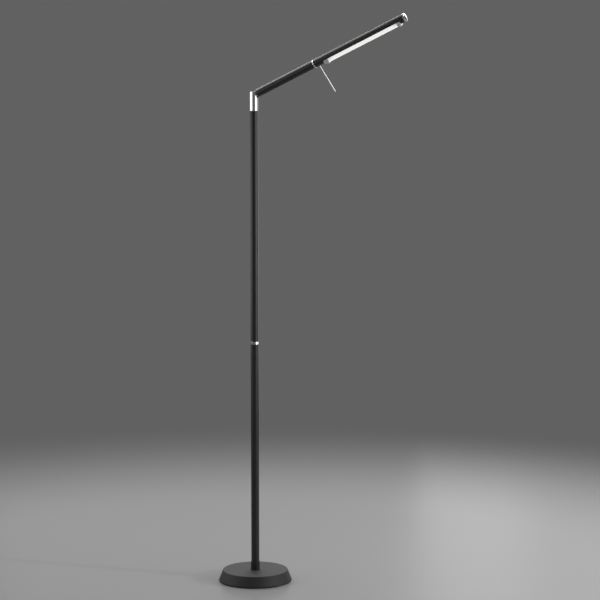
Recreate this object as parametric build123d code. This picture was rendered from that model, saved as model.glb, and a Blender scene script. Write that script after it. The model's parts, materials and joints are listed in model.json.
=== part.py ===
from build123d import *

import math
import os

# Pharmacy floor lamp. Millimetres, +Z up, origin on the floor under the pole.
# The arm rises towards +X; the back of the base, with the cord inlet, faces +Y.

# ---------------------------------------------------------------- driving sizes

TUBE_RADIUS = 11.0
TUBE_WALL = 1.3
TUBE_BORE = TUBE_RADIUS - TUBE_WALL
RUNNING = 0.05  # radial or end clearance of every running fit

BASE_RADIUS = 100.5
BASE_TOP_RADIUS = 89.0
BASE_TOP = 30.5
COVER_FOOT = 2.0
COVER_WALL = 1.5
PAD_RADIUS = 95.0
PLATE_RADIUS = 96.5
PLATE_THICK = 1.5
WEIGHT_GAP = 0.4
PLATE_SCREW_CIRCLE = 84.0
NUT_POCKET_RADIUS = 13.0
NUT_POCKET_TOP = 24.0
LEAD_CHANNEL_WIDTH = 9.0
LEAD_CHANNEL_TOP = 14.0

DRIVER_SIZE = (74.0, 32.0, 15.0)
DRIVER_Y = 40.0
DRIVER_EAR = 7.0
TERMINAL_SIZE = (24.0, 12.0, 11.0)
TERMINAL_Y = 69.0
INLET_HEIGHT = 10.5
INLET_BORE = 3.25
INLET_NECK = 5.0
INLET_FLANGE = 6.6

THREAD_RADIUS = 5.0
THREAD_BORE = 3.2
COLLAR_RADIUS = 12.3
COLLAR_TOP = 54.0
TUBE_SEAT = 34.0
RING_BOTTOM = 655.0
RING_TOP = 662.3
POLE_TOP = 1286.5
INSERT_LENGTH = 30.0

STEM_RADIUS = 6.0
BUSH_FLANGE = 0.8
FORK_BOTTOM = POLE_TOP + BUSH_FLANGE + RUNNING
PIVOT_HEIGHT = 1329.5
FORK_TOP = PIVOT_HEIGHT + 9.0
SLOT_WIDTH = 8.0
SLOT_FLOOR = PIVOT_HEIGHT - 9.2
SCREW_RADIUS = 2.5
SCREW_HEAD_RADIUS = 4.0
SCREW_HEAD_FLOOR = 7.0

ARM_ELEVATION = 24.0
HEAD_ROLL = 24.0
LUG_THICK = 6.9
LUG_EYE = 7.6
LUG_HEIGHT = 15.2
SLEEVE_RADIUS = 3.6
WASHER_THICK = 0.5
ARM_START = 12.5
PLUG_START = 14.2
PLUG_LENGTH = 22.0
HEAD_RING = (197.8, 201.0)
ARM_END = HEAD_RING[0] - 0.3
SPIGOT_RADIUS = 7.0
SPIGOT_START = 160.0
SPIGOT_END = 220.0
ROD_PLACE = 209.0
ROD_RADIUS = 1.5
ROD_REACH = 92.4

INNER_BLOCK = (228.4, 242.5)
TIP_BLOCK = (456.6, 466.6)
WINDOW = (INNER_BLOCK[0], TIP_BLOCK[1])
LIGHT_EDGE = -1.4
DIFFUSER_DEPTH = 12.2
DIFFUSER_HALF = 10.7
DIFFUSER_WALL = 1.5
BLOCK_DEPTH = 15.0
BLOCK_WALL = 1.8
BLOCK_BEVEL = 1.0
RAMP_SLOPE = 0.38
INNER_RAMP = 10.4
TIP_RAMP = 7.4
TROUGH_CORNER = 3.0
TROUGH_INNER_CORNER = 1.6
CARRIER_SPAN = (241.5, 470.0)
CARRIER_FLAT = -0.6
BOARD_THICK = 1.2
BOARD_HALF = 6.0
CHIP_COUNT = 21
HEAD_TUBE_END = 480.0
CAP_RIM = 3.8
CAP_DOME = 2.0
LEAD_RADIUS = 1.1

# ------------------------------------------------------------------- placements

PIVOT = Location((0, 0, PIVOT_HEIGHT))
ARM_PLACE = PIVOT * Location((0, 0, 0), (0, -ARM_ELEVATION, 0))
HEAD_PLACE = ARM_PLACE * Location((0, 0, 0), (HEAD_ROLL, 0, 0))
STAND_PLACE = Location((0, 0, 0))

os.makedirs("parts", exist_ok=True)


def save(name, shape, place=STAND_PLACE):
    """Write one sub-part, moved from its own working frame to the lamp's frame."""
    solids = [place * solid for solid in shape.solids()]
    result = solids[0] if len(solids) == 1 else Compound(children=solids)
    export_step(result, "parts/" + name + ".step")


def rod(radius, low, high, hole=0.0):
    """A round bar along Z from low to high, with an optional bore."""
    bar = Pos(0, 0, low) * Cylinder(radius, high - low, align=(Align.CENTER, Align.CENTER, Align.MIN))
    if hole:
        bar -= Pos(0, 0, low) * Cylinder(hole, high - low, align=(Align.CENTER, Align.CENTER, Align.MIN))
    return bar


def along_x(shape):
    """Turn a piece made along +Z so that it lies along +X, with its +X side down."""
    return Rot(0, 90, 0) * shape


def along_y(shape):
    """Turn a piece made along +Z so that it lies along +Y."""
    return Rot(-90, 0, 0) * shape


def block(x, y, z):
    """A box between two limits on each axis."""
    corner = Pos(x[0], y[0], z[0])
    return corner * Box(x[1] - x[0], y[1] - y[0], z[1] - z[0], align=(Align.MIN, Align.MIN, Align.MIN))


def turned(points):
    """A turned piece: a closed outline of (radius, height) points, revolved about Z."""
    outline = Polyline([(r, 0, z) for r, z in points], close=True)
    return revolve(make_face(outline), Axis.Z)


def nut(across_flats, low, high, hole):
    """A hexagon nut along Z."""
    corner = across_flats / 2 / math.cos(math.pi / 6)
    hexagon = extrude(RegularPolygon(corner, 6), high - low)
    return Pos(0, 0, low) * hexagon - rod(hole, low - 1, high + 1)


def split_washer(outer, inner, low, high, cut):
    """A spring washer or a clip: a flat ring with a gap in it."""
    ring = rod(outer, low, high, inner)
    return ring - block((0, outer + 1), (-cut / 2, cut / 2), (low - 1, high + 1))


def countersunk(head, shank, low, length, gap=0.0):
    """A countersunk screw with its head down; gap grows it into the hole that it fits."""
    slope = head - shank
    outline = [(0, low), (head + gap, low), (head + gap, low + 0.3)]
    outline += [(shank + gap, low + 0.3 + slope), (shank + gap, low + length), (0, low + length)]
    return turned(outline)


def lead(points, radii, radius=LEAD_RADIUS):
    """A round lead along straight runs joined by tangent arcs, in the XZ plane."""
    path = FilletPolyline(*[(x, 0, z) for x, z in points], radius=radii)
    start = Plane(origin=path @ 0, z_dir=path % 0)
    return sweep(start * Circle(radius), path=path)


# ------------------------------------------------------------------------ base

SCREW_ANGLES = (30, 150, 270)


def plate_screw_set(gap=0.0):
    """Three countersunk screws that hold the plate to the weight."""
    screw = countersunk(3.8, 2.0, COVER_FOOT, 14.0, gap)
    spot = Pos(PLATE_SCREW_CIRCLE, 0, 0)
    return Compound(children=[Rot(0, 0, angle) * spot * screw for angle in SCREW_ANGLES])


def cover_slope(height):
    """Outer radius of the cone of the base cover at a height."""
    share = (height - COVER_FOOT) / (BASE_TOP - COVER_FOOT)
    return BASE_RADIUS + (BASE_TOP_RADIUS - BASE_RADIUS) * share


def base_cover():
    """A spun sheet cover: a low cone with a flat top and rounded edges."""
    low = (BASE_RADIUS, COVER_FOOT)
    high = (BASE_TOP_RADIUS, BASE_TOP)
    outside = turned([(0, COVER_FOOT), low, high, (0, BASE_TOP)])
    rims = outside.edges().filter_by(GeomType.CIRCLE).sort_by(Axis.Z)
    outside = fillet(rims[0], 1.2)
    rims = outside.edges().filter_by(GeomType.CIRCLE).sort_by(Axis.Z)
    outside = fillet(rims[-1], 2.0)
    inside = turned([
        (0, COVER_FOOT - 1), (cover_slope(COVER_FOOT - 1) - COVER_WALL, COVER_FOOT - 1),
        (cover_slope(BASE_TOP - COVER_WALL) - COVER_WALL, BASE_TOP - COVER_WALL),
        (0, BASE_TOP - COVER_WALL),
    ])
    shell = outside - inside
    shell -= rod(THREAD_RADIUS, BASE_TOP - 5, BASE_TOP + 5)
    shell -= inlet_bar(INLET_NECK, 80, BASE_RADIUS + 5)
    return shell


def inlet_bar(radius, start, end):
    """A round bar along +Y at the height of the cord inlet."""
    return Pos(0, 0, INLET_HEIGHT) * along_y(rod(radius, start, end))


def driver_body(grow=0.0):
    """The block of the LED driver standing on the plate."""
    half_x = DRIVER_SIZE[0] / 2 + grow
    half_y = DRIVER_SIZE[1] / 2 + grow
    floor = COVER_FOOT + PLATE_THICK
    return block((-half_x, half_x), (DRIVER_Y - half_y, DRIVER_Y + half_y),
                 (floor, floor + DRIVER_SIZE[2] + grow))


def terminal_body(grow=0.0):
    """The block of the mains terminals standing on the plate."""
    half_x = TERMINAL_SIZE[0] / 2 + grow
    half_y = TERMINAL_SIZE[1] / 2 + grow
    floor = COVER_FOOT + PLATE_THICK
    return block((-half_x, half_x), (TERMINAL_Y - half_y, TERMINAL_Y + half_y),
                 (floor, floor + TERMINAL_SIZE[2] + grow))


def base_weight():
    """Cast-iron weight: a low cone with pockets for nut, driver, terminals and leads."""
    floor = COVER_FOOT + PLATE_THICK
    top = BASE_TOP - COVER_WALL
    inset = COVER_WALL + WEIGHT_GAP
    weight = turned([(0, floor), (cover_slope(floor) - inset, floor),
                     (cover_slope(top) - inset - 1.5, top), (0, top)])
    weight -= rod(THREAD_RADIUS, NUT_POCKET_TOP - 1, top + 1)
    weight -= rod(NUT_POCKET_RADIUS, floor - 1, NUT_POCKET_TOP)
    half = LEAD_CHANNEL_WIDTH / 2
    weight -= block((-half, half), (0, DRIVER_Y), (floor - 1, LEAD_CHANNEL_TOP))
    weight -= driver_body(2.0)
    ear_half = DRIVER_SIZE[0] / 2 + DRIVER_EAR + 2
    weight -= block((-ear_half, ear_half), (DRIVER_Y - 8, DRIVER_Y + 8), (floor - 1, floor + 6))
    weight -= terminal_body(2.0)
    room = INLET_FLANGE + 1.0
    weight -= block((-room, room), (TERMINAL_Y, BASE_RADIUS), (floor - 1, INLET_HEIGHT + room))
    weight -= plate_screw_set(RUNNING)
    return weight


def base_plate():
    """Steel disc that closes the base from below."""
    plate = rod(PLATE_RADIUS, COVER_FOOT, COVER_FOOT + PLATE_THICK)
    plate -= plate_screw_set(RUNNING)
    for screw in driver_screw_set().solids():
        plate -= screw
    return plate


def driver_screw_set():
    """Two pan screws through the ears of the driver into the plate."""
    reach = DRIVER_SIZE[0] / 2 + DRIVER_EAR / 2
    floor = COVER_FOOT + PLATE_THICK
    shank = rod(1.25, COVER_FOOT + 0.2, floor + 2)
    head = rod(2.6, floor + 2, floor + 4)
    screw = shank + head
    return Compound(children=[Pos(side * reach, DRIVER_Y, 0) * screw for side in (-1, 1)])


def led_driver():
    """The driver's case with a screw ear at each end and rounded upper edges."""
    case = fillet(driver_body().edges().group_by(Axis.Z)[-1], 1.5)
    half = DRIVER_SIZE[0] / 2
    floor = COVER_FOOT + PLATE_THICK
    for side in (-1, 1):
        near, far = sorted((side * (half - 1), side * (half + DRIVER_EAR)))
        case += block((near, far), (DRIVER_Y - 6, DRIVER_Y + 6), (floor, floor + 2))
    for screw in driver_screw_set().solids():
        case -= screw
    return case


def terminal_block():
    """Two-way terminal block with wire mouths and screw wells."""
    body = terminal_body()
    floor = COVER_FOOT + PLATE_THICK
    for side in (-1, 1):
        body -= Pos(side * 5, 0, floor + 5) * along_y(rod(1.8, TERMINAL_Y - 10, TERMINAL_Y + 10))
        body -= Pos(side * 5, TERMINAL_Y, 0) * rod(2.2, floor + 7.5, floor + 20)
    return body


def cord_grommet():
    """Cord inlet: a flange inside the cover, a neck through it and a rounded nose."""
    nose = inlet_bar(INLET_NECK, 88, BASE_RADIUS)
    nose = fillet(nose.edges().group_by(Axis.Y)[-1], 1.0)
    flange = inlet_bar(INLET_FLANGE, 88, 91.5)
    return nose + flange - inlet_bar(INLET_BORE, 80, BASE_RADIUS + 5)


def pole_collar():
    """Black collar round the foot of the pole, with a shoulder that the tube stands on."""
    collar = rod(COLLAR_RADIUS, BASE_TOP, COLLAR_TOP)
    collar = chamfer(collar.edges().group_by(Axis.Z)[-1], 0.6)
    collar -= rod(TUBE_RADIUS, TUBE_SEAT, COLLAR_TOP + 1)
    collar -= rod(THREAD_RADIUS, BASE_TOP - 1, TUBE_SEAT + 1)
    return collar - collar_screw()


def collar_screw():
    """Set screw at the back of the collar that pins the tube."""
    return Pos(0, 0, 44) * along_y(rod(2.0, TUBE_RADIUS, COLLAR_RADIUS - 0.1))


save("floor_pad", rod(PAD_RADIUS, 0, COVER_FOOT))
save("base_plate", base_plate())
save("plate_screws", plate_screw_set())
save("base_weight", base_weight())
save("base_cover", base_cover())
save("cord_grommet", cord_grommet())
save("led_driver", led_driver())
save("driver_screws", driver_screw_set())
save("terminal_block", terminal_block())

# ------------------------------------------------------------------------ pole

STUD_BOTTOM = 13.0
STUD_WASHER = (22.4, NUT_POCKET_TOP)
STUD_LOCK = (20.4, STUD_WASHER[0])
STUD_NUT = (15.4, STUD_LOCK[0])

save("pole_stud", rod(THREAD_RADIUS, STUD_BOTTOM, 60, THREAD_BORE))
save("stud_washer", rod(11.5, STUD_WASHER[0], STUD_WASHER[1], THREAD_RADIUS))
save("stud_lock_washer", split_washer(8.4, THREAD_RADIUS, STUD_LOCK[0], STUD_LOCK[1], 1.5))
save("stud_nut", nut(17, STUD_NUT[0], STUD_NUT[1], THREAD_RADIUS))
save("pole_collar", pole_collar())
save("collar_screw", collar_screw())
save("lower_tube", rod(TUBE_RADIUS, TUBE_SEAT, RING_BOTTOM, TUBE_BORE))
save("foot_insert", rod(TUBE_BORE, TUBE_SEAT, TUBE_SEAT + INSERT_LENGTH, THREAD_RADIUS))


def coupling_ring():
    """Polished ring between the two tubes, with broken edges."""
    ring = rod(TUBE_RADIUS, RING_BOTTOM, RING_TOP)
    rims = ring.edges().filter_by(GeomType.CIRCLE)
    return chamfer(rims, 0.35) - rod(THREAD_RADIUS, RING_BOTTOM - 1, RING_TOP + 1)


save("coupling_socket", rod(TUBE_BORE, RING_BOTTOM - INSERT_LENGTH, RING_BOTTOM, THREAD_RADIUS))
save("coupling_nipple", rod(THREAD_RADIUS, RING_BOTTOM - 22, RING_TOP + 22, THREAD_BORE))
save("coupling_ring", coupling_ring())
save("coupling_plug", rod(TUBE_BORE, RING_TOP, RING_TOP + INSERT_LENGTH, THREAD_RADIUS))
save("upper_tube", rod(TUBE_RADIUS, RING_TOP, POLE_TOP, TUBE_BORE))

# ---------------------------------------------------------------- swivel joint

BUSH_RADIUS = 8.0
INSERT_BOTTOM = POLE_TOP - INSERT_LENGTH
WASHER_SPAN = (INSERT_BOTTOM - RUNNING - 1.5, INSERT_BOTTOM - RUNNING)
SPRING_SPAN = (WASHER_SPAN[0] - 1.6, WASHER_SPAN[0])
NUT_SPAN = (SPRING_SPAN[0] - 5.0, SPRING_SPAN[0])
STEM_BOTTOM = NUT_SPAN[0] - 1.0
STEM_BORE = 3.0

save("top_insert", rod(TUBE_BORE, INSERT_BOTTOM, POLE_TOP, BUSH_RADIUS))
swivel_bush = rod(BUSH_RADIUS, INSERT_BOTTOM, POLE_TOP) + rod(TUBE_RADIUS - 0.3, POLE_TOP, POLE_TOP + BUSH_FLANGE)
swivel_bush -= rod(STEM_RADIUS + RUNNING, INSERT_BOTTOM - 1, POLE_TOP + 2)
save("swivel_bush", swivel_bush)
save("swivel_washer", rod(9.0, WASHER_SPAN[0], WASHER_SPAN[1], STEM_RADIUS))
save("swivel_spring_washer", split_washer(8.6, STEM_RADIUS, SPRING_SPAN[0], SPRING_SPAN[1], 1.2))


def swivel_nut():
    """Slotted round nut on the end of the stem."""
    ring = rod(8.8, NUT_SPAN[0], NUT_SPAN[1], STEM_RADIUS)
    slot = block((-10, 10), (-1.2, 1.2), (NUT_SPAN[0] - 1, NUT_SPAN[0] + 1.5))
    return ring - slot + rod(STEM_RADIUS + 1, NUT_SPAN[0], NUT_SPAN[1], STEM_RADIUS)


def pivot_screw():
    """Socket screw of the tilt joint: head at the back, thread ending inside the front cheek."""
    shank = rod(SCREW_RADIUS, -8.0, SCREW_HEAD_FLOOR)
    head = rod(SCREW_HEAD_RADIUS, SCREW_HEAD_FLOOR, SCREW_HEAD_FLOOR + 2.6)
    socket = Pos(0, 0, SCREW_HEAD_FLOOR + 1.0) * extrude(RegularPolygon(1.45, 6), 3)
    return along_y(shank + head - socket)


def fork():
    """Round fork head with a slot across its top, on a hollow stem that turns in the bush."""
    head = rod(TUBE_RADIUS, FORK_BOTTOM, FORK_TOP)
    head = fillet(head.edges().group_by(Axis.Z)[-1], 0.9)
    rim = head.edges().group_by(Axis.Z)[0]
    head = chamfer(rim, 0.3)
    head += rod(STEM_RADIUS, STEM_BOTTOM, FORK_BOTTOM)
    half = SLOT_WIDTH / 2
    head -= block((-12, 12), (-half, half), (SLOT_FLOOR, FORK_TOP + 1))
    head -= rod(STEM_BORE, STEM_BOTTOM - 1, SLOT_FLOOR + 1)
    bore = rod(SCREW_RADIUS, -8.0, 12) + rod(SCREW_HEAD_RADIUS + RUNNING, SCREW_HEAD_FLOOR, 12)
    return head - PIVOT * along_y(bore)


save("swivel_nut", swivel_nut())
save("fork", fork())
save("pivot_screw", pivot_screw(), PIVOT)
save("fork_lead", rod(LEAD_RADIUS, STEM_BOTTOM, SLOT_FLOOR - 0.3))


def pole_lead():
    """Low-voltage lead: out of the driver, up through the stud and the whole pole."""
    low = 7.0
    outlet = DRIVER_Y - DRIVER_SIZE[1] / 2
    run = lead([(outlet, low), (0, low), (0, STEM_BOTTOM - 2)], [6.0], 1.6)
    return Rot(0, 0, 90) * run


save("pole_lead", pole_lead())

# ------------------------------------------------------------------------- arm

LUG_HALF = LUG_THICK / 2
LEAD_OFFSET = -5.6
PLUG_END = PLUG_START + PLUG_LENGTH


def arm_knuckle():
    """Flat eye and bar in the fork's slot, in one piece with the plug set back in the tube."""
    half = LUG_HEIGHT / 2
    knuckle = along_y(rod(LUG_EYE, -LUG_HALF, LUG_HALF))
    knuckle += block((0, PLUG_START), (-LUG_HALF, LUG_HALF), (-half, half))
    knuckle += along_x(rod(TUBE_BORE, PLUG_START, PLUG_END))
    knuckle -= along_y(rod(SLEEVE_RADIUS, -LUG_HALF - 1, LUG_HALF + 1))
    knuckle -= block((-2.5, PLUG_START), (-1.3, 1.3), (-LUG_EYE - 1, LEAD_OFFSET + 1.3))
    knuckle -= Pos(0, 0, LEAD_OFFSET) * along_x(rod(1.3, PLUG_START - 1, PLUG_END + 1))
    return knuckle - knuckle_screw()


def knuckle_screw():
    """Set screw at the back that pins the plug in the arm tube."""
    return Pos(PLUG_START + 12, 0, 0) * along_y(rod(2.0, 4.0, TUBE_RADIUS - 0.1))


def friction_washers():
    """One fibre washer on each side of the eye."""
    low = LUG_HALF
    high = LUG_HALF + WASHER_THICK
    sides = [rod(6.6, low, high, SCREW_RADIUS + RUNNING), rod(6.6, -high, -low, SCREW_RADIUS + RUNNING)]
    return Compound(children=[along_y(side) for side in sides])


def arm_tube():
    """Black tube from the fork to the head, with the hole of its set screw."""
    return along_x(rod(TUBE_RADIUS, ARM_START, ARM_END, TUBE_BORE)) - knuckle_screw()


save("arm_knuckle", arm_knuckle(), ARM_PLACE)
save("knuckle_screw", knuckle_screw(), ARM_PLACE)
save("pivot_sleeve", along_y(rod(SLEEVE_RADIUS, -LUG_HALF, LUG_HALF, SCREW_RADIUS + RUNNING)), ARM_PLACE)
save("friction_washers", friction_washers(), ARM_PLACE)
save("arm_tube", arm_tube(), ARM_PLACE)
BUSH_START = ARM_END - INSERT_LENGTH
save("arm_end_bush", along_x(rod(TUBE_BORE, BUSH_START, HEAD_RING[0] - RUNNING, SPIGOT_RADIUS + RUNNING)),
     ARM_PLACE)
save("arm_lead", lead([(-1.5, LEAD_OFFSET), (60, LEAD_OFFSET), (110, 0), (SPIGOT_START - 4, 0)], [60, 60]),
     ARM_PLACE)

# ------------------------------------------------------------------------ head

CLIP_SPAN = (BUSH_START - RUNNING - 2.6, BUSH_START - RUNNING - 1.4)
SPIGOT_WASHER = (CLIP_SPAN[1], BUSH_START - RUNNING)
GROOVE_RADIUS = 6.3
SPIGOT_BORE = 3.5


def head_spigot():
    """Hollow shaft in the arm's bush, in one piece with the plug in the head tube."""
    shaft = rod(SPIGOT_RADIUS, SPIGOT_START, HEAD_RING[1]) + rod(TUBE_BORE, HEAD_RING[1], SPIGOT_END)
    shaft -= rod(SPIGOT_BORE, SPIGOT_START - 1, SPIGOT_END + 1)
    shaft -= rod(SPIGOT_RADIUS + 1, CLIP_SPAN[0], CLIP_SPAN[1], GROOVE_RADIUS)
    return along_x(shaft) - Pos(ROD_PLACE, 0, 0) * rod(ROD_RADIUS, -12, -4.5)


def guide_rod():
    """Thin rod for turning the head, with a round end, screwed into the plug."""
    bar = rod(ROD_RADIUS, -ROD_REACH, -4.5)
    tip = bar.edges().group_by(Axis.Z)[0]
    return Pos(ROD_PLACE, 0, 0) * fillet(tip, ROD_RADIUS * 0.96)


def head_tube():
    """Black tube of the head, its lower half cut away over the length of the light."""
    tube = along_x(rod(TUBE_RADIUS, HEAD_RING[1], HEAD_TUBE_END, TUBE_BORE))
    tube -= block(WINDOW, (-12, 12), (-12, LIGHT_EDGE))
    return tube - Pos(ROD_PLACE, 0, 0) * rod(ROD_RADIUS, -12, -4.5)


def trough_section(half, depth, corner):
    """Outline across the head of a trough: straight sides, flat floor, round corners."""
    low = -depth
    with BuildSketch(Plane.YZ) as sketch:
        with Locations((0, (LIGHT_EDGE + low) / 2)):
            Rectangle(2 * half, LIGHT_EDGE - low)
        fillet(sketch.vertices().group_by(Axis.Z)[0], corner)
    return sketch.sketch


def trough_bar(span, half, depth, corner):
    """A solid bar along the head with the trough's outline."""
    return Pos(span[0], 0, 0) * extrude(trough_section(half, depth, corner), span[1] - span[0], dir=(1, 0, 0))


def diffuser():
    """Opal trough with two clip ribs that stand up inside the tube's edges."""
    span = (INNER_BLOCK[1], TIP_BLOCK[0])
    inner_half = DIFFUSER_HALF - DIFFUSER_WALL
    trough = trough_bar(span, DIFFUSER_HALF, DIFFUSER_DEPTH, TROUGH_CORNER)
    trough -= trough_bar(span, inner_half, DIFFUSER_DEPTH - DIFFUSER_WALL, TROUGH_INNER_CORNER)
    for side in (-1, 1):
        near, far = sorted((side * (inner_half - 0.3), side * (inner_half + 0.25)))
        trough += block(span, (near, far), (LIGHT_EDGE - 1.0, LIGHT_EDGE + 2.0))
    return trough


def end_block(span, ramp, hollow_span):
    """White end block of the light: its floor falls along a ramp to full depth, and it is hollow."""
    low, high = span
    deep = -BLOCK_DEPTH
    body = trough_bar(span, DIFFUSER_HALF, BLOCK_DEPTH, TROUGH_CORNER)
    body -= wedge([(low - 1, deep - 1), (low + ramp, deep - 1), (low + ramp, deep),
                   (low, deep + RAMP_SLOPE * ramp), (low - 1, deep + RAMP_SLOPE * ramp)])
    body -= wedge([(high + 1, deep - 1), (high - BLOCK_BEVEL, deep - 1), (high - BLOCK_BEVEL, deep),
                   (high, deep + BLOCK_BEVEL), (high + 1, deep + BLOCK_BEVEL)])
    hollow_depth = BLOCK_DEPTH - RAMP_SLOPE * INNER_RAMP - BLOCK_WALL
    return body - trough_bar(hollow_span, DIFFUSER_HALF - BLOCK_WALL, hollow_depth, TROUGH_INNER_CORNER)


def wedge(points):
    """A prism right across the head from an outline of (x, z) points."""
    outline = Polyline([(x, 0, z) for x, z in points], close=True)
    return extrude(make_face(outline), 14, dir=(0, 1, 0), both=True)


def led_carrier():
    """Aluminium heat sink: half round above a flat, with a lead groove along its back."""
    length = CARRIER_SPAN[1] - CARRIER_SPAN[0]
    shift = Pos(CARRIER_SPAN[0], 0, 0)
    bar = shift * along_x(rod(TUBE_BORE, 0, length))
    bar &= block(CARRIER_SPAN, (-8.6, 8.6), (CARRIER_FLAT, TUBE_BORE + 1))
    for side in (-1, 0, 1):
        centre = side * 4.8
        bar -= block((CARRIER_SPAN[0] - 1, CARRIER_SPAN[1] + 1), (centre - 1.3, centre + 1.3),
                     (3.4, TUBE_BORE + 1))
    for screw in board_screw_set().solids():
        bar -= screw
    return bar


BOARD_SPAN = (CARRIER_SPAN[0] + 0.5, TIP_BLOCK[0] - 1)
BOARD_LOW = CARRIER_FLAT - BOARD_THICK
CONNECTOR_SPAN = (BOARD_SPAN[0] + 0.5, BOARD_SPAN[0] + 7.5)
CONNECTOR_LOW = BOARD_LOW - 3.6
CHIP_PITCH = (BOARD_SPAN[1] - CONNECTOR_SPAN[1] - 8.0) / (CHIP_COUNT - 1)
CHIP_START = CONNECTOR_SPAN[1] + 4.0


def board_screw_set():
    """Three pan screws between the chips."""
    screw = rod(1.1, BOARD_LOW, CARRIER_FLAT + 3.2) + rod(1.9, BOARD_LOW - 1.3, BOARD_LOW)
    steps = (1.5, CHIP_COUNT / 2 - 1, CHIP_COUNT - 2.5)
    return Compound(children=[Pos(CHIP_START + step * CHIP_PITCH, 0, 0) * screw for step in steps])


def led_board():
    """Long narrow board under the flat of the carrier."""
    board = block(BOARD_SPAN, (-BOARD_HALF, BOARD_HALF), (BOARD_LOW, CARRIER_FLAT))
    for screw in board_screw_set().solids():
        board -= screw
    return board


def led_chips():
    """A row of light-emitting chips along the board."""
    chip = block((-1.4, 1.4), (-1.75, 1.75), (BOARD_LOW - 0.8, BOARD_LOW))
    return Compound(children=[Pos(CHIP_START + i * CHIP_PITCH, 0, 0) * chip for i in range(CHIP_COUNT)])


def board_connector():
    """Plug-in connector at the near end of the board, with a mouth for the lead."""
    body = block(CONNECTOR_SPAN, (-3.5, 3.5), (CONNECTOR_LOW, BOARD_LOW))
    middle = (CONNECTOR_LOW + BOARD_LOW) / 2
    mouth = Pos(0, 0, middle) * along_x(rod(LEAD_RADIUS, CONNECTOR_SPAN[0] - 1, CONNECTOR_SPAN[0] + 2.5))
    return body - mouth


def head_lead():
    """Lead from the spigot's bore down to the connector."""
    middle = (CONNECTOR_LOW + BOARD_LOW) / 2
    end = CONNECTOR_SPAN[0] + 2.5
    return lead([(SPIGOT_START - 2, 0), (232, 0), (238.5, middle), (end, middle)], [4.0, 4.0])


def end_cap():
    """Chromed cap: a rim as wide as the tube, a low dome and a hollow plug inside the tube."""
    rim_end = HEAD_TUBE_END + CAP_RIM
    sphere = (TUBE_RADIUS ** 2 + CAP_DOME ** 2) / (2 * CAP_DOME)
    with BuildSketch(Plane.XZ) as sketch:
        with BuildLine():
            Polyline((0, HEAD_TUBE_END), (TUBE_RADIUS, HEAD_TUBE_END), (TUBE_RADIUS, rim_end))
            RadiusArc((TUBE_RADIUS, rim_end), (0, rim_end + CAP_DOME), -sphere)
            Line((0, rim_end + CAP_DOME), (0, HEAD_TUBE_END))
        make_face()
    cap = revolve(sketch.sketch, Axis.Z)
    plug = rod(TUBE_BORE, CARRIER_SPAN[1] + 1.0, HEAD_TUBE_END, TUBE_BORE - 1.6)
    return along_x(cap + plug)


def head_ring():
    """Chromed ring that marks the twist joint."""
    ring = rod(TUBE_RADIUS, HEAD_RING[0], HEAD_RING[1])
    rims = ring.edges().filter_by(GeomType.CIRCLE)
    return along_x(chamfer(rims, 0.25) - rod(SPIGOT_RADIUS, HEAD_RING[0] - 1, HEAD_RING[1] + 1))


save("head_ring", head_ring(), HEAD_PLACE)
save("head_spigot", head_spigot(), HEAD_PLACE)
save("spigot_washer", along_x(rod(9.2, SPIGOT_WASHER[0], SPIGOT_WASHER[1], SPIGOT_RADIUS)), HEAD_PLACE)
save("spigot_clip", along_x(split_washer(8.8, GROOVE_RADIUS, CLIP_SPAN[0], CLIP_SPAN[1], 3.0)), HEAD_PLACE)
save("head_tube", head_tube(), HEAD_PLACE)
save("guide_rod", guide_rod(), HEAD_PLACE)
save("led_carrier", led_carrier(), HEAD_PLACE)
save("led_board", led_board(), HEAD_PLACE)
save("led_chips", led_chips(), HEAD_PLACE)
save("board_screws", board_screw_set(), HEAD_PLACE)
save("board_connector", board_connector(), HEAD_PLACE)
save("head_lead", head_lead(), HEAD_PLACE)
save("diffuser", diffuser(), HEAD_PLACE)
inner_hollow = (INNER_BLOCK[0] + BLOCK_WALL, INNER_BLOCK[1] + 1)
tip_hollow = (TIP_BLOCK[0] - 1, TIP_BLOCK[1] - BLOCK_WALL)
save("inner_end_block", end_block(INNER_BLOCK, INNER_RAMP, inner_hollow), HEAD_PLACE)
save("tip_end_block", end_block(TIP_BLOCK, TIP_RAMP, tip_hollow), HEAD_PLACE)
save("end_cap", end_cap(), HEAD_PLACE)
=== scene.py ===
# %% [markdown]
# A slim reading lamp stands on a round weighted base. Its steel parts come from the CAD model,
# and this lesson gives each of them a finish and a smooth, detailed surface around it.
# The CAD model is loaded first, because every new piece takes its place and size from it.

# %% Load the fixed frame
import json
import math

import bpy
import numpy as np
from mathutils import Matrix


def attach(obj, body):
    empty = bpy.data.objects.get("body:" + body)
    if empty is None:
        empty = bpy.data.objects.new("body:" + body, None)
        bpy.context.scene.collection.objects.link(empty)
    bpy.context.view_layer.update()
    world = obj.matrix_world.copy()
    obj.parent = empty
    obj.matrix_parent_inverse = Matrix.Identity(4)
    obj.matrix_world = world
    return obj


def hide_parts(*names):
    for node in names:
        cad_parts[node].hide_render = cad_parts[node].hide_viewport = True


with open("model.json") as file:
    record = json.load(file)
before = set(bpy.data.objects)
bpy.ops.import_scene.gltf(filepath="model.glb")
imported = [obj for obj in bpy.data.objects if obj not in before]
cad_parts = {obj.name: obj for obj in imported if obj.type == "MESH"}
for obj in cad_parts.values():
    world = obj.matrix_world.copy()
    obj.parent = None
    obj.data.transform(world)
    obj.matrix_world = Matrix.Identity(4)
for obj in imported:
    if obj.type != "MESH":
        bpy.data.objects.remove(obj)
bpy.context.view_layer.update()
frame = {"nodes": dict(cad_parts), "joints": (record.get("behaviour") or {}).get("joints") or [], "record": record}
nodes = frame["nodes"]
joints = {joint["name"]: joint for joint in frame["joints"]}

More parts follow.
